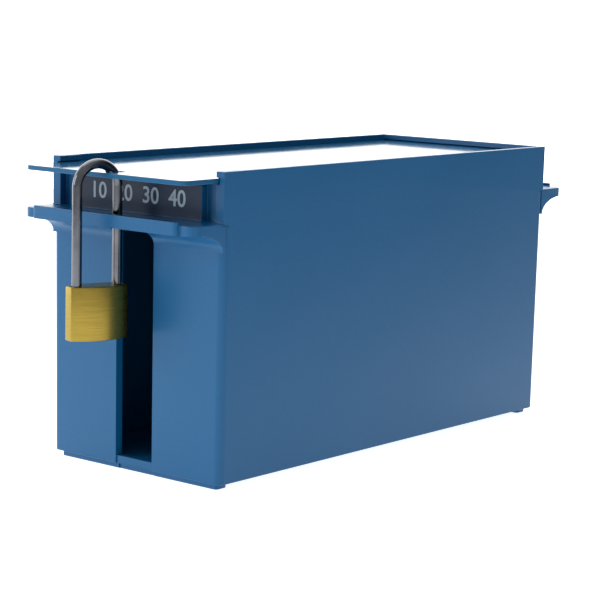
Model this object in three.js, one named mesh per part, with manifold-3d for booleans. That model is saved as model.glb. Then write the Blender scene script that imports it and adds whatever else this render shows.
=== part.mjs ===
// Lockable coin-roll storage box: an injection-moulded tray with a sliding lid, held shut by a small
// long-shackle brass padlock that hangs through the lid and the front ledge. Millimetres, +Z up,
// the front wall faces -Y and X is centred. Each sub-part is one named mesh.
import * as THREE from "three";
import { mergeVertices } from "three/addons/utils/BufferGeometryUtils.js";
import Module from "manifold-3d";

const wasm = await Module();
wasm.setup();

// ---- Driving dimensions: tray ----
const BOX_WIDTH = 95; // X, over the side walls
const BOX_LENGTH = 225; // Y, over the end walls, without the ledges
const BOX_HEIGHT = 124; // rim above the underside of the floor
const SIDE_WALL = 2.8;
const REAR_WALL = 3;
const FRONT_WALL = 3.7;
const FLOOR = 2.8;
const CORNER_RADIUS = 3.2; // upright outer corners, below the ledges
const FOOT_HEIGHT = 2.4;
const FOOT_DEPTH = 6.6;
const FOOT_CORNER = 1.5;
const FOOT_INSET_SIDE = 3.3;
const FOOT_INSET_END = 1.9;

// ---- Driving dimensions: end ledges ----
const LEDGE_BELOW_RIM = 20.1; // top of a ledge below the rim
const LEDGE_THICKNESS = 4;
const LEDGE_REACH = 17;
const LEDGE_CORNER = 4.5;
const GRIP_PROUD = 2; // the middle stretch that the fingers take, past the rest of the ledge
const GRIP_INSET = 7.75; // from each side of the ledge
const GRIP_RIB_WIDTH = 2.6;
const GRIP_RIB_RISE = 1.3;
const GRIP_CORNER = 1.6;
const GUSSET_SETBACK = 0.8; // the hollow curve under a ledge ends this far short of its edge
const GUSSET_DROP = 7.5;

// ---- Driving dimensions: front wall ----
const SLOT_WIDTH = 20.6;
const SILL_HEIGHT = 0.5; // slot sill above the floor
const SILL_RECESS = 0.6;
const SLOT_RELIEF = 0.4; // the slot runs this far up into the ledge
const POST_WIDTH = 4.5; // side walls thicken to posts beside the label plate
const POST_DEPTH = 12;
const LABEL_RECESS = 3.4;
const LABEL_SIDE_GAP = 7.3; // label plate to each post
const LABEL_DROP = 1; // top of the label plate below the lid's seat
const UPPER_WALL = 2.5;

// ---- Driving dimensions: lid ----
const LID_THICKNESS = 2;
const LID_BELOW_RIM = 2.7;
const LID_SIDE_GAP = 0.6;
const LID_REAR_BITE = 1.7; // into the groove of the rear wall
const LID_CORNER = 3;
const RAIL_HEIGHT = 2.6;
const RAIL_END_GAP = 2; // rails stop short of the rear wall
const REAR_GROOVE = 2;
const GAP = 0.3; // between pieces that touch

// ---- Driving dimensions: padlock ----
const LOCK_SHOULDER = 3.7; // from a leg's centre to the side flat
const LOCK_HEIGHT = 21.4;
const LOCK_FLAT = 4.6; // thickness at the side flats
const LOCK_MIDDLE = 12.7; // thickness across the crowned faces
const LOCK_YAW = THREE.MathUtils.degToRad(74.4); // from +X to the line of the shackle's legs
const SHACKLE_ROD = 4;
const SHACKLE_SPACING = 18; // between leg centres
const SHACKLE_CLEARANCE = 46.1; // body top to the inside of the bow
const BEND_LAP = 0.05; // a leg runs this far into the bow
const BOW_PLAY = 1.4; // inside of the bow above the lid
const TOE_DEPTH = 7.5;
const HEEL_END = 3.8; // end of the heel leg above the underside of the body
const HEEL_FLOOR = 1; // left under the heel leg's bore
const LEG_PLAY = 0.3; // leg to its bore, on the radius
const HOLE_PLAY = 2; // rod to the holes in the lid and the front ledge, on the radius
const HOLE_LAND = 1.3; // from the hole to the edge of the ledge
const TOE_SHIFT = 1.25; // toe leg from the hole's centre, along the line of the legs

// ---- Driving dimensions: lock cylinder ----
const PLUG_RADIUS = 3.2;
const PLUG_TO_BOLTS = 4.1; // inner end of the plug below the bolts' axis
const PLUG_PLAY = 0.25;
const PLUG_RECESS = 0.2; // face of the plug above the underside of the body
const KEYWAY_WIDTH = 1.1;
const KEYWAY_HALF = 2.5;
const CAM_TONGUE = [0.7, 1.3]; // half sizes of the tongue between the bolts' steps
const CAM_RADIUS = 2.4;
const CAM_THICKNESS = 1.5;
const CAM_LAP = 0.2; // the tongue into the disc below it, and past the bolts' axis
const PIN_PITCH = 2.4;
const FIRST_PIN = 2.6; // above the underside of the padlock
const PIN_RADIUS = 0.75;
const PIN_PLAY = 0.2;
const STACK_PLAY = 0.2; // between a key pin and its driver
const KEY_PIN_LENGTHS = [2.2, 2.8, 2.4, 3];
const DRIVER_LENGTH = 2.4;
const CHAMBER_PLUG = 1.4;
const COVER_RECESS = 0.1; // outer end of a chamber plug below the body's side flat
const COVER_PLAY = 0.1;
const BOLT_RADIUS = 1.8;
const BOLT_PLAY = 0.25;
const BOLT_BITE = 1.3; // how far a latch bolt stands in its leg's notch
const BOLT_DROP = 5.3; // bolt axis below the top of the padlock
const BOLT_INNER = 2.6; // inner end of a latch bolt from the middle of the lock
const BOLT_STEP = 0.9; // step over the cam and spring seat, above the bolt's axis
const SPRING_SEAT_RADIUS = 0.75;
const RETAINER_RADIUS = 0.8;
const RETAINER_ENDS = [-3.8, 5]; // its bore is blind at the first and open at the other
const RETAINER_HEIGHT = 8; // above the underside of the padlock
const RETAINER_PLAY = 0.15;
const HEEL_FLAT = [6.5, 13]; // heights that the heel leg's flat runs between
const HEEL_FLAT_DEPTH = 0.7;

// ---- Driving dimensions: springs, as [outer radius, wire, turns] ----
const LATCH_SPRING = [0.65, 0.25, 5];
const LATCH_SPRING_HALF = 1.9;
const SHACKLE_SPRING = [1.8, 0.5, 3];
const SHACKLE_SPRING_SEAT = 1.3; // above the underside of the padlock
const PIN_SPRING = [0.75, 0.2, 5];
const SPRING_PLAY = 0.15; // at each end of a pin spring

// ---- Sizes that follow ----
const HALF_WIDTH = BOX_WIDTH / 2;
const HALF_BAY = HALF_WIDTH - SIDE_WALL; // inner face of a side wall
const HALF_THROAT = HALF_WIDTH - POST_WIDTH; // inner face of a post or rail
const LEDGE_TOP = BOX_HEIGHT - LEDGE_BELOW_RIM; // above the underside of the floor, as all heights are
const LEDGE_BOTTOM = LEDGE_TOP - LEDGE_THICKNESS;
const GRIP_REACH = LEDGE_REACH + GRIP_PROUD;
const GUSSET_REACH = LEDGE_REACH - GUSSET_SETBACK;
const LID_TOP = BOX_HEIGHT - LID_BELOW_RIM;
const LID_BOTTOM = LID_TOP - LID_THICKNESS;
const SEAT = LID_BOTTOM - GAP; // top of the rails
const LIP = LID_TOP + GAP; // underside of the lips over the lid
const LID_REACH = GRIP_REACH; // past the front wall, level with the grip
const LOCK_TOP = LID_TOP + BOW_PLAY - SHACKLE_CLEARANCE;
const LOCK_BASE = LOCK_TOP - LOCK_HEIGHT;
const LEG = SHACKLE_SPACING / 2;
const LOCK_HALF = LEG + LOCK_SHOULDER;
const BOLT_HEIGHT = LOCK_HEIGHT - BOLT_DROP; // above the underside of the padlock, as all its heights are
const PLUG_LENGTH = BOLT_HEIGHT - PLUG_TO_BOLTS;
const LOCK_HOLE = SHACKLE_ROD / 2 + HOLE_PLAY; // radius
const HOLE_SETBACK = LEDGE_REACH - HOLE_LAND - LOCK_HOLE; // hole centre in front of the front wall
const LEG_BORE = SHACKLE_ROD / 2 + LEG_PLAY;
const EMBED = 1; // how far a joined block or a cutter runs past a face
const RAIL_EMBED = 0.5; // how far rails and lips stand into their walls
const STEEL = { color: 0x8e9096, roughness: 0.2, metalness: 1 };
const BRASS = { color: 0xa58c3c, roughness: 0.35, metalness: 1 };
const BLUE = { color: 0x1b4b72, roughness: 0.35, metalness: 0 };

// ---- Shapes ----
const toSolid = (geometry) => {
  const bare = geometry.clone();
  bare.deleteAttribute("normal");
  bare.deleteAttribute("uv");
  const merged = mergeVertices(bare, 1e-4);
  return new wasm.Manifold(
    new wasm.Mesh({
      numProp: 3,
      vertProperties: new Float32Array(merged.attributes.position.array),
      triVerts: new Uint32Array(merged.index.array),
    }),
  );
};

const toGeometry = (solid) => {
  const mesh = solid.getMesh();
  const indexed = new THREE.BufferGeometry();
  indexed.setAttribute("position", new THREE.BufferAttribute(mesh.vertProperties, 3));
  indexed.setIndex(new THREE.BufferAttribute(mesh.triVerts, 1));
  const geometry = indexed.toNonIndexed();
  geometry.computeVertexNormals();
  return geometry;
};

// Sets every vertex to exactly `low` or `high` along an axis, so that faces meant to be level are level.
const snap = (geometry, axis, low, high) => {
  const position = geometry.attributes.position;
  const read = ["getX", "getY", "getZ"][axis];
  const write = ["setX", "setY", "setZ"][axis];
  for (let i = 0; i < position.count; i++)
    position[write](i, position[read](i) > 0 ? high : low);
  return geometry;
};

const block = (x0, x1, y0, y1, z0, z1) => {
  const geometry = new THREE.BoxGeometry(1, 1, 1);
  snap(geometry, 0, x0, x1);
  snap(geometry, 1, y0, y1);
  snap(geometry, 2, z0, z1);
  return toSolid(geometry);
};

// An outline of (x, y) drawn out along local Z, with its ends at -1 and 1 until they are snapped.
const extrude = (shape, segments) => {
  const options = { depth: 2, bevelEnabled: false, curveSegments: segments };
  return new THREE.ExtrudeGeometry(shape, options).translate(0, 0, -1);
};

// A rectangle with its own radius at each end: `near` at the low side of v, `far` at the high side.
const roundedOutline = (u0, u1, v0, v1, near, far) => {
  const shape = new THREE.Shape();
  const corner = (u, v, radius, start) => {
    if (radius > 0) shape.absarc(u, v, radius, start, start + Math.PI / 2, false);
    else shape.lineTo(u, v);
  };
  shape.moveTo(u0 + near, v0);
  corner(u1 - near, v0 + near, near, -Math.PI / 2);
  corner(u1 - far, v1 - far, far, 0);
  corner(u0 + far, v1 - far, far, Math.PI / 2);
  corner(u0 + near, v0 + near, near, Math.PI);
  return shape;
};

const extrudeUp = (shape, z0, z1, segments = 4) =>
  toSolid(snap(extrude(shape, segments), 2, z0, z1));

// Outline in (y, z), drawn out along X.
const extrudeAcross = (shape, x0, x1, segments = 4) => {
  const turn = new THREE.Matrix4().makeBasis(
    new THREE.Vector3(0, 1, 0),
    new THREE.Vector3(0, 0, 1),
    new THREE.Vector3(1, 0, 0),
  );
  return toSolid(snap(extrude(shape, segments).applyMatrix4(turn), 0, x0, x1));
};

const rodUp = (radius, x, y, z0, z1, sides = 24) => {
  const geometry = new THREE.CylinderGeometry(radius, radius, 2, sides).rotateX(Math.PI / 2);
  return toSolid(snap(geometry, 2, z0, z1).translate(x, y, 0));
};

const rodAcross = (radius, x0, x1, y, z, sides = 20) => {
  const geometry = new THREE.CylinderGeometry(radius, radius, 2, sides).rotateZ(-Math.PI / 2);
  return toSolid(snap(geometry, 0, x0, x1).translate(0, y, z));
};

const rodBack = (radius, y0, y1, x, z, sides = 16) => {
  const geometry = new THREE.CylinderGeometry(radius, radius, 2, sides);
  return toSolid(snap(geometry, 1, y0, y1).translate(x, 0, z));
};

const union = (first, ...others) => others.reduce((sum, solid) => sum.add(solid), first);
const cut = (first, ...others) => others.reduce((rest, solid) => rest.subtract(solid), first);

const addMesh = (group, name, geometry, look) => {
  const mesh = new THREE.Mesh(geometry, new THREE.MeshStandardMaterial(look));
  mesh.name = name;
  group.add(mesh);
  return mesh;
};

// The drill for the lock's hole, past both faces of the sheet it goes through.
const lockHole = (low, high) =>
  rodUp(LOCK_HOLE, 0, -HOLE_SETBACK, low - EMBED, high + EMBED, 32);

// ---- Tray ----
// Rear ledge: a slab on a hollow-curved gusset, with a thicker grip and a raised finger rib.
const rearLedge = () => {
  const wall = BOX_LENGTH;
  const profile = new THREE.Shape();
  profile.moveTo(wall - EMBED, LEDGE_TOP);
  profile.lineTo(wall - EMBED, LEDGE_BOTTOM - GUSSET_DROP);
  profile.lineTo(wall, LEDGE_BOTTOM - GUSSET_DROP);
  profile.absellipse(
    wall + GUSSET_REACH,
    LEDGE_BOTTOM - GUSSET_DROP,
    GUSSET_REACH,
    GUSSET_DROP,
    Math.PI,
    Math.PI / 2,
    true,
  );
  profile.lineTo(wall + LEDGE_REACH, LEDGE_BOTTOM);
  profile.lineTo(wall + LEDGE_REACH, LEDGE_TOP);
  const plan = roundedOutline(
    -HALF_WIDTH,
    HALF_WIDTH,
    wall - 2 * EMBED,
    wall + LEDGE_REACH,
    0,
    LEDGE_CORNER,
  );
  const slab = extrudeAcross(profile, -HALF_WIDTH, HALF_WIDTH, 5).intersect(
    extrudeUp(plan, LEDGE_BOTTOM - GUSSET_DROP - EMBED, LEDGE_TOP + EMBED),
  );
  const gripFrom = (y, top) => {
    const half = HALF_WIDTH - GRIP_INSET;
    const outline = roundedOutline(-half, half, y, wall + GRIP_REACH, 0, GRIP_CORNER);
    return extrudeUp(outline, LEDGE_BOTTOM, top);
  };
  return union(
    slab,
    gripFrom(wall + GUSSET_REACH + GAP, LEDGE_TOP),
    gripFrom(wall + GRIP_REACH - GRIP_RIB_WIDTH, LEDGE_TOP + GRIP_RIB_RISE),
  );
};

const frontLedge = () =>
  rearLedge().rotate([0, 0, 180]).translate([0, BOX_LENGTH, 0]);

const foot = (y0) => {
  const reach = HALF_WIDTH - FOOT_INSET_SIDE;
  const outline = roundedOutline(-reach, reach, y0, y0 + FOOT_DEPTH, FOOT_CORNER, FOOT_CORNER);
  return extrudeUp(outline, -FOOT_HEIGHT, EMBED);
};

// What both side walls carry: a rail under the lid, a lip over it at the front, and the post.
const sideRail = (side) => {
  const inner = side * HALF_THROAT;
  const outer = side * (HALF_BAY + RAIL_EMBED);
  const [x0, x1] = [Math.min(inner, outer), Math.max(inner, outer)];
  const start = FRONT_WALL - EMBED;
  const railEnd = BOX_LENGTH - REAR_WALL - RAIL_END_GAP;
  return union(
    block(x0, x1, start, railEnd, SEAT - RAIL_HEIGHT, SEAT),
    block(x0, x1, start, POST_DEPTH, LEDGE_BOTTOM, SEAT),
    block(x0, x1, start, POST_DEPTH, LIP, BOX_HEIGHT),
  );
};

const trayBody = () => {
  const half = HALF_WIDTH;
  const lower = roundedOutline(-half, half, 0, BOX_LENGTH, CORNER_RADIUS, CORNER_RADIUS);
  const shell = union(
    extrudeUp(lower, 0, LEDGE_TOP),
    block(-half, half, 0, BOX_LENGTH, LEDGE_TOP - EMBED, BOX_HEIGHT),
    rearLedge(),
    frontLedge(),
    foot(FOOT_INSET_END),
    foot(BOX_LENGTH - FOOT_INSET_END - FOOT_DEPTH),
  );
  const above = BOX_HEIGHT + EMBED;
  const rearInside = BOX_LENGTH - REAR_WALL;
  const throat = HALF_THROAT;
  const hollow = cut(
    shell,
    block(-HALF_BAY, HALF_BAY, FRONT_WALL, rearInside, FLOOR, above),
    block(-throat, throat, -EMBED, FRONT_WALL + EMBED, LEDGE_TOP, above),
  );
  const wide = HALF_BAY + RAIL_EMBED;
  const plate = HALF_THROAT - LABEL_SIDE_GAP;
  const upperBack = LABEL_RECESS + UPPER_WALL;
  const upperFront = union(
    block(-wide, wide, LABEL_RECESS, upperBack, LEDGE_BOTTOM, SEAT),
    block(-plate, plate, 0, LABEL_RECESS + EMBED, LEDGE_TOP - EMBED, SEAT - LABEL_DROP),
  );
  const slotSide = SLOT_WIDTH / 2;
  const sill = FLOOR + SILL_HEIGHT;
  const slotTop = LEDGE_BOTTOM + SLOT_RELIEF;
  const slot = block(-slotSide, slotSide, -LEDGE_REACH, FRONT_WALL + EMBED, sill, slotTop);
  const footFace = FOOT_INSET_END + SILL_RECESS;
  return cut(
    union(hollow, upperFront, sideRail(-1), sideRail(1)),
    slot,
    block(-slotSide, slotSide, -EMBED, SILL_RECESS, -EMBED, sill + EMBED),
    block(-slotSide, slotSide, -EMBED, footFace, -FOOT_HEIGHT - EMBED, 0),
    block(-HALF_BAY, HALF_BAY, -EMBED, POST_DEPTH, SEAT, LIP),
    block(-HALF_BAY, HALF_BAY, rearInside - EMBED, rearInside + REAR_GROOVE, SEAT, LIP),
    lockHole(LEDGE_BOTTOM, LEDGE_TOP),
  );
};

// ---- Lid ----
const lid = () => {
  const half = HALF_BAY - LID_SIDE_GAP;
  const back = BOX_LENGTH - REAR_WALL + LID_REAR_BITE;
  const outline = roundedOutline(-half, half, -LID_REACH, back, LID_CORNER, LID_CORNER);
  return cut(
    extrudeUp(outline, LID_BOTTOM, LID_TOP, 4),
    lockHole(LID_BOTTOM, LID_TOP),
  );
};

// ---- Padlock: local frame, X from heel leg to toe leg, Z up from the underside of its body ----
const CHANNEL_RADIUS = BOLT_RADIUS + BOLT_PLAY;
const CAM_TOP = PLUG_LENGTH + GAP + CAM_THICKNESS;
const CHAMBER_RADIUS = PIN_RADIUS + PIN_PLAY;
const PLUG_BORE = PLUG_RADIUS + PLUG_PLAY;
const SHEAR = PLUG_RADIUS + PLUG_PLAY / 2; // the line where key pins and drivers meet
const pinHeight = (index) => FIRST_PIN + index * PIN_PITCH;

const lockOutline = () => {
  const half = LOCK_HALF;
  const flat = LOCK_FLAT / 2;
  const crown = LOCK_MIDDLE / 2 - flat;
  const radius = (half * half + crown * crown) / (2 * crown);
  const sweep = Math.asin(half / radius);
  const shape = new THREE.Shape();
  shape.absarc(0, flat + crown - radius, radius, Math.PI / 2 - sweep, Math.PI / 2 + sweep, false);
  shape.absarc(0, radius - flat - crown, radius, -Math.PI / 2 - sweep, -Math.PI / 2 + sweep, false);
  return shape;
};

const padlockBody = () => {
  const body = extrudeUp(lockOutline(), 0, LOCK_HEIGHT, 16);
  const chambers = KEY_PIN_LENGTHS.map((_, i) =>
    rodAcross(CHAMBER_RADIUS, PLUG_RADIUS - EMBED, LOCK_HALF + EMBED, 0, pinHeight(i), 16),
  );
  const above = LOCK_HEIGHT + EMBED;
  const retainer = RETAINER_RADIUS + RETAINER_PLAY;
  return cut(
    body,
    rodUp(LEG_BORE, LEG, 0, LOCK_HEIGHT - TOE_DEPTH - LEG_PLAY, above),
    rodUp(LEG_BORE, -LEG, 0, HEEL_FLOOR, above),
    rodAcross(CHANNEL_RADIUS, -LEG, LEG, 0, BOLT_HEIGHT),
    rodUp(PLUG_BORE, 0, 0, -EMBED, PLUG_LENGTH + GAP, 32),
    rodUp(CAM_RADIUS + PLUG_PLAY, 0, 0, PLUG_LENGTH, BOLT_HEIGHT),
    rodBack(retainer, RETAINER_ENDS[0] - GAP, LOCK_MIDDLE, -LEG + LEG_BORE, RETAINER_HEIGHT),
    ...chambers,
  );
};

// Shackle: one rod bent to a bow. Each leg has a latch notch on its inner side, and the heel leg a
// long flat that the retaining pin rides in.
class BowCurve extends THREE.Curve {
  constructor(radius, height) {
    super();
    this.radius = radius;
    this.height = height;
  }
  getPoint(t, target = new THREE.Vector3()) {
    const angle = Math.PI * (1 - t);
    return target.set(
      this.radius * Math.cos(angle),
      0,
      this.height + this.radius * Math.sin(angle),
    );
  }
}

const shackle = () => {
  const rod = SHACKLE_ROD / 2;
  const bend = LOCK_HEIGHT + SHACKLE_CLEARANCE + rod - LEG;
  const sides = 16;
  const legTo = (x, depth) => rodUp(rod, x, 0, LOCK_HEIGHT - depth, bend + BEND_LAP, sides);
  const section = new THREE.Shape();
  section.absarc(0, 0, rod, 0, Math.PI * 2, false);
  const bow = new THREE.ExtrudeGeometry(section, {
    steps: 20,
    curveSegments: sides / 2,
    bevelEnabled: false,
    extrudePath: new BowCurve(LEG, bend),
  });
  const notch = (side) => {
    const ends = [side * (LEG - rod - EMBED), side * (LEG - rod + BOLT_BITE + GAP)];
    const [low, high] = [BOLT_HEIGHT - CHANNEL_RADIUS, BOLT_HEIGHT + CHANNEL_RADIUS];
    return block(Math.min(...ends), Math.max(...ends), -rod, rod, low, high);
  };
  const heelSide = -LEG + rod;
  const heelFlat = block(heelSide - HEEL_FLAT_DEPTH, heelSide + EMBED, -rod, rod, ...HEEL_FLAT);
  return cut(
    union(toSolid(bow), legTo(LEG, TOE_DEPTH), legTo(-LEG, LOCK_HEIGHT - HEEL_END)),
    notch(1),
    notch(-1),
    heelFlat,
  );
};

const cylinderPlug = () => {
  const holes = KEY_PIN_LENGTHS.map((_, i) =>
    rodAcross(CHAMBER_RADIUS, 0, PLUG_RADIUS + EMBED, 0, pinHeight(i), 16),
  );
  const keyway = KEYWAY_WIDTH / 2;
  return cut(
    rodUp(PLUG_RADIUS, 0, 0, PLUG_RECESS, PLUG_LENGTH, 32),
    block(-KEYWAY_HALF, KEYWAY_HALF, -keyway, keyway, -EMBED, PLUG_LENGTH - EMBED),
    ...holes,
  );
};

const cam = () => {
  const [along, across] = CAM_TONGUE;
  const tongueTop = BOLT_HEIGHT + CAM_LAP;
  return union(
    rodUp(CAM_RADIUS, 0, 0, PLUG_LENGTH + GAP, CAM_TOP, 24),
    block(-along, along, -across, across, CAM_TOP - CAM_LAP, tongueTop),
  );
};

// A latch bolt's outer end stands in its leg's notch, and its inner end is stepped over the cam.
const latchBolt = (side) => {
  const tip = LEG - SHACKLE_ROD / 2 + BOLT_BITE;
  const across = (radius, a, b, z) =>
    rodAcross(radius, Math.min(side * a, side * b), Math.max(side * a, side * b), 0, z);
  const [seatFrom, seatTo] = [BOLT_INNER - EMBED, BOLT_INNER + EMBED];
  return cut(
    across(BOLT_RADIUS, BOLT_INNER, tip, BOLT_HEIGHT),
    across(SPRING_SEAT_RADIUS, seatFrom, seatTo, BOLT_HEIGHT + BOLT_STEP),
  );
};

const STEPS_PER_TURN = 10;

// Coil spring of round wire along local Z, from z = 0.
class Helix extends THREE.Curve {
  constructor(radius, length, turns) {
    super();
    Object.assign(this, { radius, length, turns });
  }
  getPoint(t, target = new THREE.Vector3()) {
    const angle = t * this.turns * Math.PI * 2;
    return target.set(
      this.radius * Math.cos(angle),
      this.radius * Math.sin(angle),
      this.length * t,
    );
  }
}

const coilSpring = ([outer, wire, turns], length) => {
  const section = new THREE.Shape();
  section.absarc(0, 0, wire / 2, 0, Math.PI * 2, false);
  const geometry = new THREE.ExtrudeGeometry(section, {
    steps: turns * STEPS_PER_TURN,
    curveSegments: 3,
    bevelEnabled: false,
    extrudePath: new Helix(outer - wire / 2, length - wire, turns),
  });
  geometry.translate(0, 0, wire / 2);
  return geometry;
};

// ---- Assembly ----
const root = new THREE.Group();
const toeLeg = [TOE_SHIFT * Math.cos(LOCK_YAW), TOE_SHIFT * Math.sin(LOCK_YAW) - HOLE_SETBACK];
const lockCentre = [
  toeLeg[0] - LEG * Math.cos(LOCK_YAW),
  toeLeg[1] - LEG * Math.sin(LOCK_YAW),
];
const lockFront =
  lockCentre[1] -
  LOCK_HALF * Math.sin(LOCK_YAW) -
  (LOCK_FLAT / 2) * Math.cos(LOCK_YAW);
const middleY = (lockFront + BOX_LENGTH + GRIP_REACH) / 2;
root.position.set(0, -middleY, FOOT_HEIGHT);

addMesh(root, "tray_body", toGeometry(trayBody()), BLUE);
addMesh(root, "lid", toGeometry(lid()), BLUE);

const padlock = new THREE.Group();
padlock.position.set(lockCentre[0], lockCentre[1], LOCK_BASE);
padlock.rotation.z = LOCK_YAW;
root.add(padlock);

addMesh(padlock, "padlock_body", toGeometry(padlockBody()), BRASS);
addMesh(padlock, "shackle", toGeometry(shackle()), STEEL);
addMesh(padlock, "cylinder_plug", toGeometry(cylinderPlug()), BRASS);
addMesh(padlock, "cam", toGeometry(cam()), STEEL);
addMesh(padlock, "latch_bolt_toe", toGeometry(latchBolt(1)), STEEL);
addMesh(padlock, "latch_bolt_heel", toGeometry(latchBolt(-1)), STEEL);

const latchCoil = coilSpring(LATCH_SPRING, 2 * LATCH_SPRING_HALF);
const latchSpring = addMesh(padlock, "latch_spring", latchCoil, STEEL);
latchSpring.rotation.y = Math.PI / 2;
latchSpring.position.set(-LATCH_SPRING_HALF, 0, BOLT_HEIGHT + BOLT_STEP);

const shackleCoilLength = HEEL_END - SHACKLE_SPRING_SEAT - GAP;
const shackleCoil = coilSpring(SHACKLE_SPRING, shackleCoilLength);
const shackleSpring = addMesh(padlock, "shackle_spring", shackleCoil, STEEL);
shackleSpring.position.set(-LEG, 0, SHACKLE_SPRING_SEAT);

const retainerX = -LEG + LEG_BORE;
const retainer = rodBack(RETAINER_RADIUS, ...RETAINER_ENDS, retainerX, RETAINER_HEIGHT);
addMesh(padlock, "heel_retaining_pin", toGeometry(retainer), STEEL);

KEY_PIN_LENGTHS.forEach((length, index) => {
  const z = pinHeight(index);
  const number = index + 1;
  const pin = (radius, from, to) => toGeometry(rodAcross(radius, from, to, 0, z, 12));
  const driverFrom = SHEAR + STACK_PLAY / 2;
  const driverTo = driverFrom + DRIVER_LENGTH;
  const keyPinTo = driverFrom - STACK_PLAY;
  const coverFrom = LOCK_HALF - CHAMBER_PLUG;
  const coverTo = LOCK_HALF - COVER_RECESS;
  const coverRadius = CHAMBER_RADIUS - COVER_PLAY;
  addMesh(padlock, "key_pin_" + number, pin(PIN_RADIUS, keyPinTo - length, keyPinTo), BRASS);
  addMesh(padlock, "driver_pin_" + number, pin(PIN_RADIUS, driverFrom, driverTo), STEEL);
  addMesh(padlock, "chamber_plug_" + number, pin(coverRadius, coverFrom, coverTo), BRASS);
  const coil = coilSpring(PIN_SPRING, coverFrom - driverTo - 2 * SPRING_PLAY);
  const spring = addMesh(padlock, "pin_spring_" + number, coil, STEEL);
  spring.rotation.y = Math.PI / 2;
  spring.position.set(driverTo + SPRING_PLAY, 0, z);
});

export default root;
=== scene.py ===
# Looks of the lockable coin-roll storage box: a blue moulded tray with end ledges, a sliding lid, and a
# small brass padlock with a long steel shackle hung through both. Metres, +Z up, front towards -Y.
import math

import bmesh
import bpy
from mathutils import Matrix, Quaternion, Vector


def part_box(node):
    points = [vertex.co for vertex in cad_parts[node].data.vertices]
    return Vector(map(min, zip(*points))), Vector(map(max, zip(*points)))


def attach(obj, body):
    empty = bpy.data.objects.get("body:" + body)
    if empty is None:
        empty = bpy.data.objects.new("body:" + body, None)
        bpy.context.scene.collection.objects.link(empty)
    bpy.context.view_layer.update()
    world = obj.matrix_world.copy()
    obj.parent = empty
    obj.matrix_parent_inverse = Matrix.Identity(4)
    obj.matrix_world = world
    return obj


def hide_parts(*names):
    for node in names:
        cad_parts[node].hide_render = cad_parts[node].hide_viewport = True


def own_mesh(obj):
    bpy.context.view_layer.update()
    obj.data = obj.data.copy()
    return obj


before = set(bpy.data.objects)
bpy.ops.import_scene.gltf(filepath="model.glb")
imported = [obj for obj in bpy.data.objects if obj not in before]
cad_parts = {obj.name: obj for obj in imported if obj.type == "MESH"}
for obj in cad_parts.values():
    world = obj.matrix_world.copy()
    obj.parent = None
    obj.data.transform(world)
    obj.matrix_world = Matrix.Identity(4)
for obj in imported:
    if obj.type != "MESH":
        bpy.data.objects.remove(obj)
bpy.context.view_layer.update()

MM = 0.001

# ---- Places, from the frame ----
tray_low, tray_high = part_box("tray_body")
lid_low, lid_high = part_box("lid")
lock_low, lock_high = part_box("padlock_body")
shackle_low, shackle_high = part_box("shackle")
plug_low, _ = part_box("cylinder_plug")

# ---- Sizes of the tray ----
SIDE_WALL = 2.8 * MM
REAR_WALL = 3 * MM
FRONT_WALL = 3.7 * MM
FLOOR = 2.8 * MM
CORNER = 3.2 * MM
DRAFT = 0.65 * MM  # how far each wall leans in from rim to foot
FOOT_HEIGHT = 2.4 * MM
FOOT_DEPTH = 6.6 * MM
FOOT_INSET_SIDE = 3.3 * MM
FOOT_INSET_END = 1.9 * MM
LEDGE_TOP = 106.3 * MM
LEDGE_THICKNESS = 4 * MM
LEDGE_REACH = 17 * MM
LEDGE_CORNER = 4.5 * MM
GRIP_REACH = 19 * MM
GRIP_WIDTH = 79.5 * MM
RIB_WIDTH = 2.6 * MM
RIB_RISE = 1.3 * MM
GUSSET_REACH = 16.2 * MM
GUSSET_DROP = 7.5 * MM
SLOT_WIDTH = 20.6 * MM
SLOT_SILL = 5.7 * MM
SLOT_RELIEF = 0.4 * MM  # how far the slot runs up into the ledge
SILL_RECESS = 0.6 * MM
POST_WIDTH = 4.5 * MM
POST_DEPTH = 12 * MM
LABEL_RECESS = 3.4 * MM
LABEL_WIDTH = 71.4 * MM
LABEL_DROP = 1 * MM
UPPER_WALL = 2.5 * MM
RAIL_HEIGHT = 2.6 * MM
REAR_GROOVE = 2 * MM
GAP = 0.3 * MM
EDGE = 0.35 * MM  # the small radius that a moulded edge has
SLIVER = 0.01 * MM  # points closer than this are one point
OVER = 1 * MM  # how far a cutter or a joined block runs past a face

# ---- Sizes of the padlock ----
LOCK_YAW = math.radians(74.4)
LOCK_WIDTH = 25.4 * MM
LOCK_FLAT = 4.6 * MM
LOCK_MIDDLE = 12.7 * MM
ROD = 2 * MM
LEG = 9 * MM
TOE_DEPTH = 7.5 * MM
HEEL_DEPTH = 17.6 * MM
LEG_PLAY = 0.3 * MM
LOCK_HOLE = 4 * MM
HOLE_SETBACK = 11.7 * MM
LID_CORNER = 3 * MM

HALF = tray_high.x
FRONT = tray_low.y + GRIP_REACH
REAR = tray_high.y - GRIP_REACH
RIM = tray_high.z
UNDERSIDE = tray_low.z + FOOT_HEIGHT
LEDGE_BOTTOM = LEDGE_TOP - LEDGE_THICKNESS
SEAT = lid_low.z - GAP
LIP = lid_high.z + GAP


# ---- Mesh tools ----
def finish_mesh(bm, name):
    bmesh.ops.recalc_face_normals(bm, faces=bm.faces)
    mesh = bpy.data.meshes.new(name)
    bm.to_mesh(mesh)
    bm.free()
    obj = bpy.data.objects.new(name, mesh)
    bpy.context.scene.collection.objects.link(obj)
    return obj


def round_edges(bm, edges, radius, segments):
    bmesh.ops.bevel(
        bm, geom=edges, affect="EDGES", offset=radius, offset_type="OFFSET",
        segments=segments, profile=0.5, material=-1, clamp_overlap=False,
    )


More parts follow.
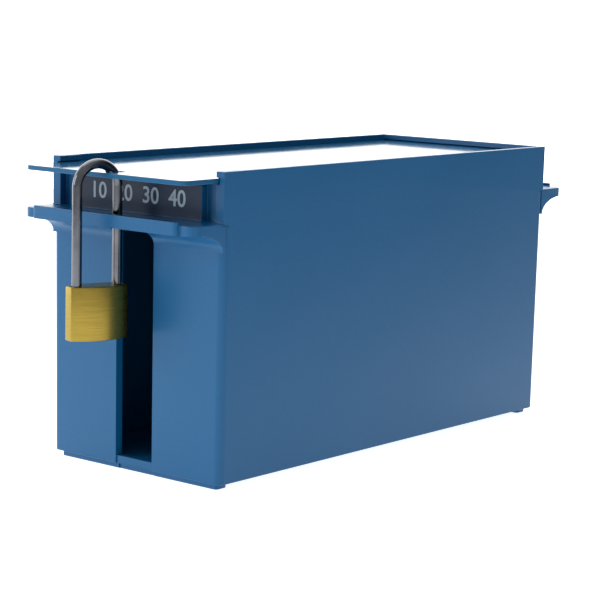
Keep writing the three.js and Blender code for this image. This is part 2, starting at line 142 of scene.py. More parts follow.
def block(low, high, radius=0, along=2, where=lambda middle: True, segments=6):
    """A box from low to high, whose edges that run along an axis are rounded where the test says so."""
    bm = bmesh.new()
    bmesh.ops.create_cube(bm, size=1)
    low, high = Vector(low), Vector(high)
    bmesh.ops.scale(bm, vec=high - low, verts=bm.verts)
    bmesh.ops.translate(bm, vec=(low + high) / 2, verts=bm.verts)
    if radius:
        edges = []
        for e in bm.edges:
            a, b = (v.co for v in e.verts)
            if abs((a - b).normalized()[along]) > 0.9 and where((a + b) / 2):
                edges.append(e)
        round_edges(bm, edges, radius, segments)
    return finish_mesh(bm, "block")


def rod(radius, start, end, sides=48):
    """A round bar from one point to another."""
    start, end = Vector(start), Vector(end)
    bm = bmesh.new()
    bmesh.ops.create_cone(
        bm, cap_ends=True, segments=sides, radius1=radius, radius2=radius, depth=(end - start).length
    )
    turn = (end - start).to_track_quat("Z", "Y").to_matrix()
    bmesh.ops.rotate(bm, cent=(0, 0, 0), matrix=turn, verts=bm.verts)
    bmesh.ops.translate(bm, vec=(start + end) / 2, verts=bm.verts)
    return finish_mesh(bm, "rod")


def shaped(target, operation, *tools):
    """The target joined with, or cut by, the tools, which are used up."""
    for tool in tools:
        step = target.modifiers.new("shape", "BOOLEAN")
        step.operation = operation
        step.solver = "MANIFOLD"
        step.object = tool
    bpy.context.view_layer.update()
    made = bpy.data.meshes.new_from_object(target.evaluated_get(bpy.context.evaluated_depsgraph_get()))
    target.modifiers.clear()
    target.data = made
    for tool in tools:
        bpy.data.objects.remove(tool)
    return target


def clean(obj, angle=0.3):
    """Takes out the seams that joining leaves in flat faces."""
    bm = bmesh.new()
    bm.from_mesh(obj.data)
    bmesh.ops.dissolve_limit(
        bm, angle_limit=math.radians(angle), verts=bm.verts, edges=bm.edges, use_dissolve_boundaries=False
    )
    bm.to_mesh(obj.data)
    bm.free()
    return obj


def soften(obj, width=EDGE, segments=3, angle=32, keep_sharp=lambda middle: False):
    """Gives every sharp edge the small radius of a real one, but those that the test keeps sharp."""
    bm = bmesh.new()
    bm.from_mesh(obj.data)
    weight = bm.edges.layers.float.new("bevel_weight_edge")
    for e in bm.edges:
        sharp = len(e.link_faces) == 2 and e.calc_face_angle() > math.radians(angle)
        kept = sharp and keep_sharp((e.verts[0].co + e.verts[1].co) / 2)
        e[weight] = float(sharp and not kept)
        e.smooth = not kept
    bm.to_mesh(obj.data)
    bm.free()
    obj.data.shade_smooth()
    edge = obj.modifiers.new("edges", "BEVEL")
    edge.width = width
    edge.segments = segments
    edge.profile = 0.5
    edge.limit_method = "WEIGHT"
    edge.use_clamp_overlap = False
    edge.harden_normals = True
    return obj


def dress(obj, name, material, body, slot, *nodes):
    obj.name = name
    obj.data.name = name
    obj.data.materials.clear()
    obj.data.materials.append(material)
    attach(obj, body)
    if nodes:
        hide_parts(*nodes)
    return obj


# ---- Materials ----
class Finish:
    """A Principled material whose patterns read Object coordinates."""

    def __init__(self, name, roughness, metallic=0.0):
        self.material = bpy.data.materials.new(name)
        self.material.use_nodes = True
        self.nodes = self.material.node_tree.nodes
        self.links = self.material.node_tree.links
        self.shader = self.nodes["Principled BSDF"]
        self.shader.inputs["Metallic"].default_value = metallic
        self.shader.inputs["Roughness"].default_value = roughness
        self.place = self.nodes.new("ShaderNodeTexCoord").outputs["Object"]
        self.height = None

    def turned(self, angle=0.0, scale=(1, 1, 1)):
        mapping = self.nodes.new("ShaderNodeMapping")
        mapping.vector_type = "TEXTURE"
        mapping.inputs["Rotation"].default_value = (0, 0, angle)
        self.links.new(self.place, mapping.inputs["Vector"])
        stretch = self.nodes.new("ShaderNodeMapping")
        stretch.inputs["Scale"].default_value = scale
        self.links.new(mapping.outputs["Vector"], stretch.inputs["Vector"])
        return stretch.outputs["Vector"]

    def noise(self, scale, detail=3.0, place=None, rough=0.5):
        node = self.nodes.new("ShaderNodeTexNoise")
        node.inputs["Scale"].default_value = scale
        node.inputs["Detail"].default_value = detail
        node.inputs["Roughness"].default_value = rough
        self.links.new(place or self.place, node.inputs["Vector"])
        return node.outputs["Fac"]

    def spread(self, value, low, high, start=0.3, end=0.7):
        node = self.nodes.new("ShaderNodeMapRange")
        node.interpolation_type = "SMOOTHSTEP"
        for name, amount in (("From Min", start), ("From Max", end), ("To Min", low), ("To Max", high)):
            node.inputs[name].default_value = amount
        self.links.new(value, node.inputs["Value"])
        return node.outputs["Result"]

    def blend(self, factor, first, second):
        node = self.nodes.new("ShaderNodeMix")
        node.data_type = "RGBA"
        self.links.new(factor, node.inputs["Factor"])
        for socket, colour in ((node.inputs[6], first), (node.inputs[7], second)):
            if isinstance(colour, tuple):
                socket.default_value = (*colour, 1)
            else:
                self.links.new(colour, socket)
        return node.outputs[2]

    def colour(self, value):
        self.links.new(value, self.shader.inputs["Base Color"])

    def roughness(self, value):
        self.links.new(value, self.shader.inputs["Roughness"])

    def bump(self, value, strength, distance):
        node = self.nodes.new("ShaderNodeBump")
        node.inputs["Strength"].default_value = strength
        node.inputs["Distance"].default_value = distance
        self.links.new(value, node.inputs["Height"])
        if self.height is not None:
            self.links.new(self.height, node.inputs["Normal"])
        self.height = node.outputs["Normal"]
        self.links.new(self.height, self.shader.inputs["Normal"])


def moulded_blue(name, deep, pale, smooth, dull):
    """Injection-moulded plastic: slow drifts of tone and gloss, and a fine skin."""
    f = Finish(name, smooth)
    f.shader.inputs["Specular IOR Level"].default_value = 0.3
    drift = f.spread(f.noise(12, 1), 0, 1, 0, 1)
    grain = f.spread(f.noise(900, 2), 0, 1)
    tone = f.blend(drift, deep, pale)
    speck = f.blend(grain, tuple(0.93 * c for c in deep), tuple(1.05 * c for c in pale))
    mixed = f.nodes.new("ShaderNodeMix")
    mixed.data_type = "RGBA"
    mixed.inputs["Factor"].default_value = 0.25
    f.links.new(tone, mixed.inputs[6])
    f.links.new(speck, mixed.inputs[7])
    f.colour(mixed.outputs[2])
    f.roughness(f.spread(f.noise(20, 1), smooth, dull, 0, 1))
    f.bump(f.noise(1600, 2), 0.05, 0.05 * MM)
    return f.material


def brushed_brass(name):
    f = Finish(name, 0.34, metallic=1.0)
    along = f.turned(LOCK_YAW, (60, 60, 5200))
    lines = f.noise(1, 3, along)
    fine = f.noise(2.2, 2, along)
    f.colour(f.blend(f.spread(lines, 0, 1), (0.31, 0.215, 0.035), (0.39, 0.285, 0.062)))
    f.roughness(f.spread(fine, 0.26, 0.46))
    f.bump(lines, 0.1, 0.02 * MM)
    return f.material


def turned_brass(name):
    f = Finish(name, 0.3, metallic=1.0)
    f.colour(f.blend(f.spread(f.noise(500, 3), 0, 1), (0.42, 0.30, 0.09), (0.56, 0.42, 0.15)))
    f.roughness(f.spread(f.noise(900, 3), 0.22, 0.4))
    f.bump(f.noise(2500, 2), 0.1, 0.02 * MM)
    return f.material


def polished_steel(name, smooth, dull):
    f = Finish(name, smooth, metallic=1.0)
    f.colour(f.blend(f.spread(f.noise(60, 3), 0, 1), (0.11, 0.115, 0.13), (0.17, 0.175, 0.19)))
    f.roughness(f.spread(f.noise(180, 4), smooth, dull))
    f.bump(f.noise(700, 2), 0.05, 0.02 * MM)
    return f.material


def printed_ink(name):
    f = Finish(name, 0.5)
    f.colour(f.blend(f.spread(f.noise(1500, 3), 0, 1), (0.33, 0.42, 0.50), (0.44, 0.53, 0.60)))
    f.roughness(f.spread(f.noise(800, 2), 0.4, 0.6))
    return f.material


BLUE_TRAY = moulded_blue("tray_blue", (0.004, 0.090, 0.225), (0.006, 0.102, 0.25), 0.26, 0.34)
# Painted shade: a darker copy of the tray blue for the label plate, standing in for the shadow under the
# lid's overhang; the plate is the same plastic as the tray.
LABEL_PAINTED_SHADE = moulded_blue("label_painted_shade", (0.005, 0.022, 0.055), (0.007, 0.028, 0.068), 0.3, 0.4)
BLUE_LID = moulded_blue("lid_blue", (0.012, 0.095, 0.205), (0.016, 0.108, 0.23), 0.07, 0.13)
BRASS = brushed_brass("lock_brass")
PLUG_BRASS = turned_brass("plug_brass")
CHROME = polished_steel("shackle_chrome", 0.1, 0.18)
STEEL = polished_steel("lock_steel", 0.25, 0.4)
INK = printed_ink("label_ink")


# ---- Camera, lights and floor ----
def studio():
    aim = Vector((-0.0005, FRONT + 0.1056, 0.0605))
    azimuth, elevation, roll = math.radians(39.41), math.radians(8.62), math.radians(1.357)
    back = Vector((
        math.sin(azimuth) * math.cos(elevation), -math.cos(azimuth) * math.cos(elevation), math.sin(elevation)
    ))
    data = bpy.data.cameras.new("camera")
    data.sensor_width = 36
    data.lens = 123.62
    data.clip_start = 0.05
    camera = bpy.data.objects.new("camera", data)
    camera.rotation_mode = "QUATERNION"
    camera.rotation_quaternion = (-back).to_track_quat("-Z", "Y") @ Quaternion((0, 0, 1), roll)
    camera.location = aim + back * 0.9112
    bpy.context.scene.collection.objects.link(camera)
    bpy.context.scene.camera = camera

    # The floor is a pale sheet that glows a little, more to the left than to the right.
    bm = bmesh.new()
    bmesh.ops.create_circle(bm, cap_ends=True, segments=96, radius=1.1)
    floor = finish_mesh(bm, "floor")
    pale = Finish("pale_floor", 0.7)
    pale.colour(pale.blend(pale.noise(3, 2), (0.50, 0.51, 0.52), (0.53, 0.54, 0.55)))
    across = pale.nodes.new("ShaderNodeVectorMath")
    across.operation = "DOT_PRODUCT"
    across.inputs[1].default_value = (math.cos(azimuth), math.sin(azimuth), 0)
    pale.links.new(pale.place, across.inputs[0])
    glow = pale.spread(across.outputs["Value"], 0.95, 0.25, 0.05, 0.6)
    pale.shader.inputs["Emission Color"].default_value = (0.97, 0.985, 1, 1)
    pale.links.new(glow, pale.shader.inputs["Emission Strength"])
    floor.data.materials.append(pale.material)

    def panel(name, place, width, height, power):
        light = bpy.data.lights.new(name, "AREA")
        light.shape = "RECTANGLE"
        light.size, light.size_y = width, height
        light.energy = power
        obj = bpy.data.objects.new(name, light)
        obj.location = place
        obj.rotation_mode = "QUATERNION"
        obj.rotation_quaternion = (aim - Vector(place)).to_track_quat("-Z", "Y")
        bpy.context.scene.collection.objects.link(obj)

    panel("top_light", (-0.3, 0.2, 2.2), 2.0, 2.0, 14)
    panel("left_light", (-1.3, -1.9, 0.8), 1.2, 1.2, 16)

    # The surround is bright behind and to the left of the object, and dark to the right of that.
    world = bpy.data.worlds.new("surround")
    bpy.context.scene.world = world
    world.use_nodes = True
    nodes, links = world.node_tree.nodes, world.node_tree.links
    place = nodes.new("ShaderNodeTexCoord").outputs["Generated"]

    def lobe(direction, start, end, low, high):
        facing = nodes.new("ShaderNodeVectorMath")
        facing.operation = "DOT_PRODUCT"
        facing.inputs[1].default_value = direction
        links.new(place, facing.inputs[0])
        ramp = nodes.new("ShaderNodeMapRange")
        ramp.interpolation_type = "SMOOTHSTEP"
        for name, amount in (("From Min", start), ("From Max", end), ("To Min", low), ("To Max", high)):
            ramp.inputs[name].default_value = amount
        links.new(facing.outputs["Value"], ramp.inputs["Value"])
        return ramp.outputs["Result"]

    total = nodes.new("ShaderNodeMath")
    total.operation = "ADD"
    links.new(lobe((-0.80, 0.60, 0), 0.0, 0.8, 0.55, 2.5), total.inputs[0])
    links.new(lobe((0.55, 0.83, 0), 0.45, 0.85, 0.0, -0.5), total.inputs[1])
    background = nodes["Background"]
    background.inputs["Color"].default_value = (0.97, 0.985, 1, 1)
    links.new(total.outputs[0], background.inputs["Strength"])
    bpy.context.scene.view_settings.view_transform = "Standard"


# ---- Tray ----
def ledge():
    """The rear ledge: a slab on a hollow-curved gusset, with a thicker grip and a finger rib."""
    def at_end(middle):
        return middle.y > REAR

    low = LEDGE_BOTTOM - GUSSET_DROP
    slab = block((-HALF, REAR - OVER, low), (HALF, REAR + LEDGE_REACH, LEDGE_TOP), LEDGE_CORNER, 2, at_end, 8)
    hollow = rod(1, (-HALF - OVER, 0, 0), (HALF + OVER, 0, 0), 128)
    bm = bmesh.new()
    bm.from_mesh(hollow.data)
    bmesh.ops.scale(bm, vec=(1, GUSSET_REACH, GUSSET_DROP), verts=bm.verts)
    bmesh.ops.translate(bm, vec=(0, REAR + GUSSET_REACH, low), verts=bm.verts)
    bm.to_mesh(hollow.data)
    bm.free()
    outer = block(
        (-HALF - OVER, REAR + GUSSET_REACH, low - OVER), (HALF + OVER, REAR + 2 * LEDGE_REACH, LEDGE_BOTTOM)
    )
    shaped(slab, "DIFFERENCE", hollow, outer)
    side = GRIP_WIDTH / 2
    end = REAR + GRIP_REACH
    grip = block((-side, end - RIB_WIDTH, LEDGE_BOTTOM), (side, end, LEDGE_TOP + RIB_RISE), 1.6 * MM, 2,
                 lambda middle: middle.y > end - OVER)
    return shaped(slab, "UNION", grip)


def foot(start):
    side = HALF - FOOT_INSET_SIDE
    return block((-side, start, tray_low.z), (side, start + FOOT_DEPTH, UNDERSIDE + OVER), 1.5 * MM)


def side_rail(side):
    inner, outer = sorted((side * (HALF - POST_WIDTH), side * (HALF - SIDE_WALL + 0.5 * MM)))
    start = FRONT + FRONT_WALL - OVER
    post = FRONT + POST_DEPTH
    return [
        block((inner, start, SEAT - RAIL_HEIGHT), (outer, REAR - REAR_WALL - 2 * MM, SEAT)),
        block((inner, start, LEDGE_BOTTOM), (outer, post, SEAT)),
        block((inner, start, LIP), (outer, post, RIM)),
    ]


def tray():
    bay = HALF - SIDE_WALL
    throat = HALF - POST_WIDTH
    slot = SLOT_WIDTH / 2
    body = block((-HALF, FRONT, UNDERSIDE), (HALF, REAR, LEDGE_TOP), CORNER, 2, segments=10)
    upper = block((-HALF, FRONT, LEDGE_TOP - OVER), (HALF, REAR, RIM))
    front_ledge = ledge()
    bm = bmesh.new()
    bm.from_mesh(front_ledge.data)
    middle = Vector((0, (FRONT + REAR) / 2, 0))
    bmesh.ops.rotate(bm, cent=middle, matrix=Matrix.Rotation(math.pi, 3, "Z"), verts=bm.verts)
    bm.to_mesh(front_ledge.data)
    bm.free()
    shaped(body, "UNION", upper, ledge(), front_ledge, foot(FRONT + FOOT_INSET_END),
           foot(REAR - FOOT_INSET_END - FOOT_DEPTH))
    shaped(
        body, "DIFFERENCE",
        block((-bay, FRONT + FRONT_WALL, UNDERSIDE + FLOOR), (bay, REAR - REAR_WALL, RIM + OVER), OVER),
        block((-throat, FRONT - OVER, LEDGE_TOP), (throat, FRONT + FRONT_WALL + OVER, RIM + OVER)),
    )
    plate = LABEL_WIDTH / 2
    rails = side_rail(-1) + side_rail(1)
    shaped(
        body, "UNION",
        block((-bay - 0.5 * MM, FRONT + LABEL_RECESS, LEDGE_BOTTOM),
              (bay + 0.5 * MM, FRONT + LABEL_RECESS + UPPER_WALL, SEAT)),
        block((-plate, FRONT, LEDGE_TOP - OVER), (plate, FRONT + LABEL_RECESS + OVER, SEAT - LABEL_DROP)),
        *rails,
    )
    shaped(
        body, "DIFFERENCE",
        block((-slot, FRONT - LEDGE_REACH, SLOT_SILL),
              (slot, FRONT + FRONT_WALL + OVER, LEDGE_BOTTOM + SLOT_RELIEF)),
        block((-slot, FRONT - OVER, UNDERSIDE - OVER), (slot, FRONT + SILL_RECESS, SLOT_SILL + OVER)),
        block((-slot, FRONT - OVER, -OVER), (slot, FRONT + FOOT_INSET_END + SILL_RECESS, UNDERSIDE)),
        block((-bay, FRONT - OVER, SEAT), (bay, FRONT + POST_DEPTH, LIP)),
        block((-bay, REAR - REAR_WALL - OVER, SEAT), (bay, REAR - REAR_WALL + REAR_GROOVE, LIP)),
        rod(LOCK_HOLE, (0, FRONT - HOLE_SETBACK, LEDGE_BOTTOM - OVER),
            (0, FRONT - HOLE_SETBACK, LEDGE_TOP + OVER)),
    )
    clean(body)
    for v in body.data.vertices:
        lean = DRAFT * (RIM - v.co.z) / RIM
        v.co.x -= lean * v.co.x / HALF
        v.co.y -= lean * (v.co.y - middle.y) / (REAR - middle.y)

    def crisp(middle):
        level = min(abs(middle.z - LEDGE_BOTTOM), abs(middle.z - LEDGE_BOTTOM + GUSSET_DROP)) < 0.2 * MM
        at_slot = abs(middle.x) < slot + OVER and middle.z < LEDGE_BOTTOM + OVER
        return level or (at_slot and middle.y < FRONT + FRONT_WALL + OVER)

    soften(body, keep_sharp=crisp)
    dress(body, "tray_moulding", BLUE_TRAY, "tray", "tray_plastic", "tray_body")
    # The label plate's front faces take the darker blue, which is painted shade for the shadow under the
    # lid's overhang.
    body.data.materials.append(LABEL_PAINTED_SHADE)
    for face in body.data.polygons:
        above = face.center.z > LEDGE_TOP
        ahead = face.center.y < FRONT + 1.2 * MM
        if above and ahead and abs(face.center.x) < plate + 0.1 * MM:
            face.material_index = 1


# ---- Lid ----
def lid():
    plate = block(lid_low, lid_high, LID_CORNER, 2)
    hole = (0, FRONT - HOLE_SETBACK)
    shaped(plate, "DIFFERENCE", rod(LOCK_HOLE, (*hole, lid_low.z - OVER), (*hole, lid_high.z + OVER), 64))
    soften(clean(plate), 0.3 * MM)
    return dress(plate, "lid_plate", BLUE_LID, "lid", "lid_plastic", "lid")


# ---- Padlock: made in its own frame, X from heel leg to toe leg, Z up from its underside ----
lock_centre = (shackle_low + shackle_high) / 2
LOCK_TURN = Matrix.Rotation(LOCK_YAW, 4, "Z")
LOCK_PLACE = Matrix.Translation((lock_centre.x, lock_centre.y, lock_low.z)) @ LOCK_TURN
LOCK_HEIGHT = lock_high.z - lock_low.z
BEND = shackle_high.z - lock_low.z - ROD - LEG
PLUG_RADIUS = 3.2 * MM
PLUG_LENGTH = 12 * MM
PLUG_PLAY = 0.25 * MM
CAM_RADIUS = 2.4 * MM
CAM_THICKNESS = 1.5 * MM
BOLT_HEIGHT = 16.1 * MM
BOLT_RADIUS = 1.8 * MM
BOLT_INNER = 2.6 * MM
BOLT_TIP = LEG - ROD + 1.3 * MM
BOLT_STEP = 0.9 * MM
PIN_RADIUS = 0.75 * MM
PIN_PLAY = 0.2 * MM
PIN_PITCH = 2.4 * MM
FIRST_PIN = 2.6 * MM
KEY_PIN_LENGTHS = [2.2 * MM, 2.8 * MM, 2.4 * MM, 3 * MM]
DRIVER_LENGTH = 2.4 * MM
PIN_WIRE = 0.2 * MM
PIN_TURNS = 5
COVER_LENGTH = 1.4 * MM
RETAINER_RADIUS = 0.8 * MM
RETAINER_START = -3.8 * MM
RETAINER_END = 5 * MM
RETAINER_HEIGHT = 8 * MM


def pin_height(number):
    return FIRST_PIN + (number - 1) * PIN_PITCH


def placed(obj):
    obj.data.transform(LOCK_PLACE)
    return obj


def turned(profile, height, sides=32):
    """A piece turned about a line along X at a height, from a profile of (x, radius)."""
    bm = bmesh.new()
    ends = [(profile[0][0], 0)] + list(profile) + [(profile[-1][0], 0)]
    verts = [bm.verts.new((x, 0, radius)) for x, radius in ends]
    edges = [bm.edges.new(pair) for pair in zip(verts, verts[1:])]
    bmesh.ops.spin(bm, geom=verts + edges, cent=(0, 0, 0), axis=(1, 0, 0), dvec=(0, 0, 0),
                   angle=2 * math.pi, steps=sides, use_merge=True)
    bmesh.ops.remove_doubles(bm, verts=bm.verts, dist=0.001 * MM)
    bmesh.ops.translate(bm, vec=(0, 0, height), verts=bm.verts)
    return finish_mesh(bm, "turned")


def across_rod(radius, start, end, height, sides=32):
    return rod(radius, (start, 0, height), (end, 0, height), sides)


def upright(radius, x, low, high, sides=48):
    return rod(radius, (x, 0, low), (x, 0, high), sides)


def lock_body():
    half, flat = LOCK_WIDTH / 2, LOCK_FLAT / 2
    crown = LOCK_MIDDLE / 2 - flat
    radius = (half * half + crown * crown) / (2 * crown)
    sweep = math.asin(half / radius)
    bm = bmesh.new()
    for side in (1, -1):
        start = bm.verts.new((side * half, side * flat, 0))
        centre = (0, side * (flat + crown - radius), 0)
        bmesh.ops.spin(bm, geom=[start], cent=centre, axis=(0, 0, 1), dvec=(0, 0, 0), angle=2 * sweep,
                       steps=28, use_merge=False)
    bmesh.ops.remove_doubles(bm, verts=bm.verts, dist=0.001 * MM)
    bm.verts.ensure_lookup_table()
    open_ends = [v for v in bm.verts if len(v.link_edges) == 1]
    for side in (1, -1):
        bm.edges.new([v for v in open_ends if v.co.x * side > 0])
    base = bmesh.ops.contextual_create(bm, geom=bm.edges)["faces"]
    raised = bmesh.ops.extrude_face_region(bm, geom=base)["geom"]
    top = [g for g in raised if isinstance(g, bmesh.types.BMVert)]
    bmesh.ops.translate(bm, vec=(0, 0, LOCK_HEIGHT), verts=top)
    rims = [e for e in bm.edges if abs(e.verts[0].co.z - e.verts[1].co.z) < SLIVER]
    corners = [e for e in bm.edges if e not in rims and abs(abs(e.verts[0].co.x) - half) < SLIVER]
    round_edges(bm, rims + corners, 0.35 * MM, 4)
    body = finish_mesh(bm, "body")
    bore = ROD + LEG_PLAY
    outside = half + OVER
    chambers = [
        across_rod(PIN_RADIUS + PIN_PLAY, PLUG_RADIUS - OVER, outside, pin_height(n)) for n in range(1, 5)
    ]
    edge_of_heel = -LEG + bore
    shaped(
        body, "DIFFERENCE",
        upright(bore, LEG, LOCK_HEIGHT - TOE_DEPTH - LEG_PLAY, LOCK_HEIGHT + OVER),
        upright(bore, -LEG, OVER, LOCK_HEIGHT + OVER),
        across_rod(BOLT_RADIUS + PLUG_PLAY, -LEG, LEG, BOLT_HEIGHT),
        upright(PLUG_RADIUS + PLUG_PLAY, 0, -OVER, PLUG_LENGTH + GAP),
        upright(CAM_RADIUS + PLUG_PLAY, 0, PLUG_LENGTH, BOLT_HEIGHT),
        rod(RETAINER_RADIUS + 0.15 * MM, (edge_of_heel, RETAINER_START - GAP, RETAINER_HEIGHT),
            (edge_of_heel, LOCK_MIDDLE, RETAINER_HEIGHT), 24),
        *chambers,
    )
    soften(clean(body), 0.12 * MM, 2, 50)
    return dress(placed(body), "padlock_case", BRASS, "padlock", "lock_brass", "padlock_body")


def shackle():
    """One steel rod bent to a bow, with latch notches inside both legs and a long flat on the heel leg."""
    bm = bmesh.new()
    ring = bmesh.ops.create_circle(bm, cap_ends=False, segments=40, radius=ROD)["verts"]
    bmesh.ops.translate(bm, vec=(LEG, 0, LOCK_HEIGHT - TOE_DEPTH), verts=ring)

    def moved(step):
        return [g for g in step["geom"] if isinstance(g, bmesh.types.BMVert)]

    edges = list({e for v in ring for e in v.link_edges})
    step = bmesh.ops.extrude_edge_only(bm, edges=edges)
    bmesh.ops.translate(bm, vec=(0, 0, BEND - LOCK_HEIGHT + TOE_DEPTH), verts=moved(step))
    raised = moved(step)
    new_edges = [g for g in step["geom"] if isinstance(g, bmesh.types.BMEdge)]
    last = [e for e in new_edges if all(v in raised for v in e.verts)]
    spun = bmesh.ops.spin(bm, geom=last, cent=(0, 0, BEND), axis=(0, -1, 0), dvec=(0, 0, 0), angle=math.pi,
                          steps=40, use_merge=False)["geom_last"]
    last = [g for g in spun if isinstance(g, bmesh.types.BMEdge)]
    step = bmesh.ops.extrude_edge_only(bm, edges=last)
    bmesh.ops.translate(bm, vec=(0, 0, LOCK_HEIGHT - HEEL_DEPTH - BEND), verts=moved(step))
    bmesh.ops.remove_doubles(bm, verts=bm.verts, dist=0.001 * MM)
    bmesh.ops.holes_fill(bm, edges=bm.edges, sides=0)
    bow = finish_mesh(bm, "bow")
    channel = BOLT_RADIUS + PLUG_PLAY

    def notch(side):
        ends = sorted((side * (LEG - ROD - OVER), side * (BOLT_TIP + GAP)))
        return block((ends[0], -ROD, BOLT_HEIGHT - channel), (ends[1], ROD, BOLT_HEIGHT + channel))

    flat = block((-LEG + ROD - 0.7 * MM, -ROD, 6.5 * MM), (-LEG + ROD + OVER, ROD, 13 * MM))
    shaped(bow, "DIFFERENCE", notch(1), notch(-1), flat)
    soften(clean(bow, 0.05), 0.25 * MM, 3, 50)
    return dress(placed(bow), "shackle_bow", CHROME, "padlock", "shackle_steel", "shackle")


def lock_plug():
    """The turned cylinder with its keyway and the four holes for the pins."""
    edge = 0.3 * MM
    base = plug_low.z - lock_low.z
    plug = turned([(0, PLUG_RADIUS - edge), (edge, PLUG_RADIUS), (PLUG_LENGTH - base, PLUG_RADIUS)], 0, 48)
    plug.data.transform(Matrix.Translation((0, 0, base)) @ Matrix.Rotation(-math.pi / 2, 4, "Y"))
    keyway = block((-2.5 * MM, -0.55 * MM, -OVER), (2.5 * MM, 0.55 * MM, PLUG_LENGTH - OVER), 0.3 * MM, 2)
    ward = block((-0.6 * MM, 0, -OVER), (0.5 * MM, OVER, PLUG_LENGTH - OVER))
    holes = [across_rod(PIN_RADIUS + PIN_PLAY, 0, PLUG_RADIUS + OVER, pin_height(n)) for n in range(1, 5)]
    shaped(plug, "DIFFERENCE", keyway, ward, *holes)
    soften(clean(plug), 0.1 * MM, 2, 50)
    return dress(placed(plug), "plug", PLUG_BRASS, "padlock", "cylinder_brass", "cylinder_plug")


def latch_bolt(side, name):
    """A round bolt with a domed tip, stepped over the cam at its inner end."""
    dome = [(BOLT_TIP - 0.5 * MM + 0.5 * MM * math.sin(a), BOLT_RADIUS - 0.5 * MM * (1 - math.cos(a)))
            for a in (0, 0.4, 0.8, 1.2, math.pi / 2)]
    bolt = turned([(BOLT_INNER, BOLT_RADIUS)] + dome, BOLT_HEIGHT)
    seat = across_rod(PIN_RADIUS, BOLT_INNER - OVER, BOLT_INNER + OVER, BOLT_HEIGHT + BOLT_STEP)
    shaped(bolt, "DIFFERENCE", seat)
    if side < 0:
        bm = bmesh.new()
        bm.from_mesh(bolt.data)
        bmesh.ops.rotate(bm, cent=(0, 0, 0), matrix=Matrix.Rotation(math.pi, 3, "Z"), verts=bm.verts)
        bm.to_mesh(bolt.data)
        bm.free()
    soften(clean(bolt), 0.1 * MM, 2, 50)
    return dress(placed(bolt), name + "_turned", STEEL, name, "lock_steel", name)


def cam():
    disc = upright(CAM_RADIUS, 0, PLUG_LENGTH + GAP, PLUG_LENGTH + GAP + CAM_THICKNESS)
    tongue = block((-0.7 * MM, -1.3 * MM, PLUG_LENGTH + OVER), (0.7 * MM, 1.3 * MM, BOLT_HEIGHT + 0.2 * MM))
    shaped(disc, "UNION", tongue)
    soften(clean(disc), 0.12 * MM, 2, 50)
    return dress(placed(disc), "cam_disc", STEEL, "padlock", "lock_steel", "cam")


def pin_stack(number):
    """One chamber's key pin, driver, spring and cover."""
    height = pin_height(number)
    edge = 0.15 * MM
    shear = PLUG_RADIUS + PLUG_PLAY / 2
    driver_start = shear + PIN_PLAY / 2
    driver_end = driver_start + DRIVER_LENGTH
    key_end = driver_start - PIN_PLAY
    key_start = key_end - KEY_PIN_LENGTHS[number - 1]
    key = turned([(key_start, 0.25 * MM), (key_start + 0.6 * MM, PIN_RADIUS), (key_end - edge, PIN_RADIUS),
                  (key_end, PIN_RADIUS - edge)], height, 24)
    dress(placed(key), f"key_pin_{number}_turned", PLUG_BRASS, f"key_pin_{number}", "cylinder_brass",
          f"key_pin_{number}")
    waist = PIN_RADIUS - 0.2 * MM
    driver = turned([(driver_start, PIN_RADIUS - edge), (driver_start + edge, PIN_RADIUS),
                     (driver_start + 0.6 * MM, PIN_RADIUS), (driver_start + 0.75 * MM, waist),
                     (driver_end - 0.75 * MM, waist), (driver_end - 0.6 * MM, PIN_RADIUS),
                     (driver_end - edge, PIN_RADIUS), (driver_end, PIN_RADIUS - edge)], height, 24)
    dress(placed(driver), f"driver_pin_{number}_turned", STEEL, f"driver_pin_{number}", "lock_steel",
          f"driver_pin_{number}")
    cover_end = LOCK_WIDTH / 2 - 0.1 * MM
    cover_start = LOCK_WIDTH / 2 - COVER_LENGTH
    cover_radius = PIN_RADIUS + PIN_PLAY - 0.1 * MM
    cover = turned([(cover_start, cover_radius - edge), (cover_start + edge, cover_radius),
                    (cover_end - edge, cover_radius), (cover_end, cover_radius - edge)], height, 24)
    dress(placed(cover), f"chamber_cover_{number}", BRASS, "padlock", "lock_brass", f"chamber_plug_{number}")
    gap = 0.15 * MM
    length = cover_start - driver_end - 2 * gap
    coil = spring((driver_end + gap, 0, height), (1, 0, 0), length, PIN_RADIUS, PIN_WIRE, PIN_TURNS)
    dress(placed(coil), f"pin_coil_{number}", STEEL, "padlock", "spring_wire", f"pin_spring_{number}")
    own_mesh(coil)


def spring(start, direction, length, outer, wire, turns):
    """A coil of round wire with closed ends, from a start point along a direction."""
    steps = 20
    count = turns * steps
    points = []
    for i in range(count + 1):
        angle = 2 * math.pi * i / steps
        share = i / count
        points.append(Vector((
            (outer - wire / 2) * math.cos(angle), (outer - wire / 2) * math.sin(angle),
            wire / 2 + (length - wire) * share,
        )))
    turn = Vector(direction).to_track_quat("Z", "Y")
    curve = bpy.data.curves.new("spring", "CURVE")
    curve.dimensions = "3D"
    curve.bevel_depth = wire / 2
    curve.bevel_resolution = 2
    curve.use_fill_caps = True
    line = curve.splines.new("POLY")
    line.points.add(count)
    for spot, point in zip(line.points, points):
        spot.co = (*(turn @ point + Vector(start)), 1)
    shape = bpy.data.objects.new("spring", curve)
    bpy.context.scene.collection.objects.link(shape)
    bpy.context.view_layer.update()
    mesh = bpy.data.meshes.new_from_object(shape.evaluated_get(bpy.context.evaluated_depsgraph_get()))
    bpy.data.objects.remove(shape)
    bm = bmesh.new()
    bm.from_mesh(mesh)
    bmesh.ops.remove_doubles(bm, verts=bm.verts, dist=0.001 * MM)
    coil = finish_mesh(bm, "spring")
    coil.data.shade_smooth()
    return coil


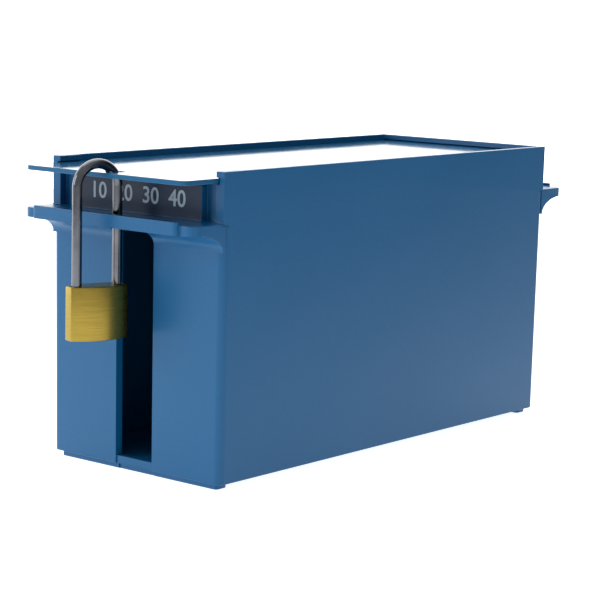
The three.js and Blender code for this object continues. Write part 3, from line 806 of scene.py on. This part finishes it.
def lock_insides():
    for number in range(1, 5):
        pin_stack(number)
    latch_bolt(1, "latch_bolt_toe")
    latch_bolt(-1, "latch_bolt_heel")
    cam()
    half = 1.9 * MM
    coil = spring((-half, 0, BOLT_HEIGHT + BOLT_STEP), (1, 0, 0), 2 * half, 0.65 * MM, 0.25 * MM, 5)
    dress(placed(coil), "latch_coil", STEEL, "padlock", "spring_wire", "latch_spring")
    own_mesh(coil)
    seat = 1.3 * MM
    length = LOCK_HEIGHT - HEEL_DEPTH - seat - GAP
    coil = spring((-LEG, 0, seat), (0, 0, 1), length, 1.8 * MM, 0.5 * MM, 3)
    dress(placed(coil), "shackle_coil", STEEL, "padlock", "spring_wire", "shackle_spring")
    edge = 0.2 * MM
    retainer = turned([(RETAINER_START, RETAINER_RADIUS - edge), (RETAINER_START + edge, RETAINER_RADIUS),
                       (RETAINER_END - edge, RETAINER_RADIUS), (RETAINER_END, RETAINER_RADIUS - edge)], 0, 32)
    retainer.data.transform(
        Matrix.Translation((-LEG + ROD + LEG_PLAY, 0, RETAINER_HEIGHT)) @ Matrix.Rotation(math.pi / 2, 4, "Z")
    )
    retainer.data.shade_smooth()
    dress(placed(retainer), "retaining_pin", STEEL, "padlock", "lock_steel", "heel_retaining_pin")


# ---- Count marks printed on the label plate ----
def count_marks():
    words = bpy.data.curves.new("marks", "FONT")
    words.body = "10  20  30  40"
    words.size = 9.3 * MM
    words.align_x = "CENTER"
    words.align_y = "CENTER"
    words.extrude = 0.05 * MM
    words.offset = 0.12 * MM
    words.resolution_u = 6
    shape = bpy.data.objects.new("marks", words)
    bpy.context.scene.collection.objects.link(shape)
    bpy.context.view_layer.update()
    mesh = bpy.data.meshes.new_from_object(shape.evaluated_get(bpy.context.evaluated_depsgraph_get()))
    bpy.data.objects.remove(shape)
    middle = (LEDGE_TOP + SEAT - LABEL_DROP) / 2 + 0.6 * MM
    lean = DRAFT * (RIM - middle) / RIM
    mesh.transform(Matrix.Translation((1 * MM, FRONT + lean, middle)) @ Matrix.Rotation(math.pi / 2, 4, "X"))
    bm = bmesh.new()
    bm.from_mesh(mesh)
    bmesh.ops.remove_doubles(bm, verts=bm.verts, dist=0.001 * MM)
    return dress(finish_mesh(bm, "marks"), "count_marks", INK, "tray", None)


studio()
tray()
lid()
lock_body()
shackle()
lock_plug()
lock_insides()
count_marks()
